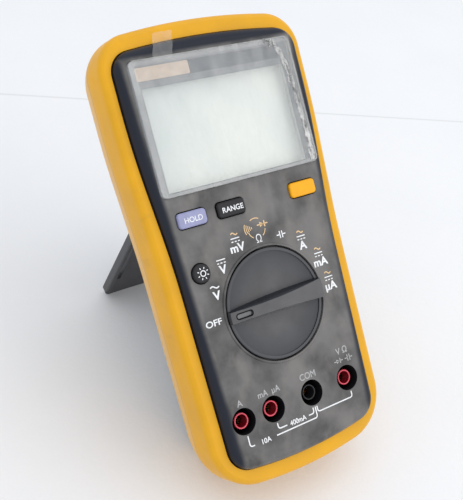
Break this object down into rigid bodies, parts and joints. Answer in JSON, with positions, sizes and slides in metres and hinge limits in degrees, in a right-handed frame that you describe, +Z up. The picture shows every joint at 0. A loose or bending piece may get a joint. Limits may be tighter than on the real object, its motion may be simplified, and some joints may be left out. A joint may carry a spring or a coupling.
{
  "type": "digital multimeter",
  "caption": "Handheld digital multimeter with a rubber bumper, selector knob, push keys, input jacks and display, propped on its fold-out stand.",
  "frame": {"origin": "on the floor, under the middle of the meter as it stands on its stand", "axes": "+Z up; +X to the right of someone facing the display; the face looks towards -Y and up"},
  "size_m": [0.091, 0.1497, 0.1489],
  "materials": {
    "bumper": "satin moulded",
    "panel": "fine texture",
    "back_shell": "fine texture",
    "screw": "zinc",
    "stand": "fine texture",
    "lens": "clear polished",
    "gasket": "matt foam",
    "film": "clear creased",
    "lcd": "grey-green",
    "carrier": "moulded",
    "light_guide": "frosted",
    "knob": "satin",
    "pointer": "smooth",
    "rotor": "moulded",
    "contact": "bright",
    "key_lavender": "satin",
    "key_black": "satin",
    "key_yellow": "satin",
    "membrane": "matt",
    "board": "solder mask",
    "cell": "printed sleeve",
    "spring_plate": "nickel",
    "chip": "matt",
    "can": "bright",
    "varistor": "glazed",
    "thermistor": "glazed",
    "buzzer": "satin",
    "fuse": "glazed",
    "jack_red": "smooth",
    "jack_black": "smooth"
  },
  "bodies": {
    "meter": {"bumper": "bumper", "front_case": "panel", "rear_case": "back_shell", "case_screws": "screw", "battery_door": "back_shell", "battery_door_screw": "screw", "display_lens": "lens", "lens_gasket": "gasket", "protective_film": "film", "film_tape": "film", "lcd_glass": "lcd", "lcd_frame": "carrier", "light_guide": "light_guide", "contact_strip": "gasket", "detent_ring": "rotor", "keypad_membrane": "membrane", "main_board": "board", "board_screws": "screw", "cell_left": "cell", "cell_right": "cell", "cell_contacts": "spring_plate", "front_chip": "chip", "main_chip": "chip", "crystal": "can", "surge_discs": "varistor", "thermistors": "thermistor", "current_shunt": "contact", "buzzer": "buzzer", "capacitors": "can", "resistor_bank": "chip", "fuse_high": "fuse", "fuse_low": "fuse", "fuse_high_clips": "spring_plate", "fuse_low_clips": "spring_plate", "jack_tube_a": "jack_red", "jack_tube_ma": "jack_red", "jack_tube_v": "jack_red", "jack_tube_com": "jack_black", "jack_contact_a": "contact", "jack_contact_ma": "contact", "jack_contact_com": "contact", "jack_contact_v": "contact"},
    "knob": {"selector_knob": "knob", "knob_pointer": "pointer", "switch_rotor": "rotor", "switch_wipers": "contact"},
    "stand": {"tilt_stand": "stand"},
    "key_hold": {"button_hold": "key_lavender"},
    "key_range": {"button_range": "key_black"},
    "key_function": {"button_function": "key_yellow"},
    "key_backlight": {"button_backlight": "key_black"}
  },
  "joints": [
    {"name": "selector_turn", "type": "hinge", "parent": "meter", "child": "knob", "pos_m": [0, -0.03077, 0.07142], "axis": [0, -0.7071, 0.7071], "range_deg": [-180, 0]},
    {"name": "stand_fold", "type": "hinge", "parent": "meter", "child": "stand", "pos_m": [0, 0.03047, 0.07751], "axis": [1, 0, 0], "range_deg": [-64.46, 0]},
    {"name": "hold_press", "type": "slide", "parent": "meter", "child": "key_hold", "axis": [0, 0.7071, -0.7071], "range_m": [0, 0.001], "stiffness_N_per_m": 300},
    {"name": "range_press", "type": "slide", "parent": "meter", "child": "key_range", "axis": [0, 0.7071, -0.7071], "range_m": [0, 0.001], "stiffness_N_per_m": 300},
    {"name": "function_press", "type": "slide", "parent": "meter", "child": "key_function", "axis": [0, 0.7071, -0.7071], "range_m": [0, 0.001], "stiffness_N_per_m": 300},
    {"name": "backlight_press", "type": "slide", "parent": "meter", "child": "key_backlight", "axis": [0, 0.7071, -0.7071], "range_m": [0, 0.001], "stiffness_N_per_m": 300}
  ]
}
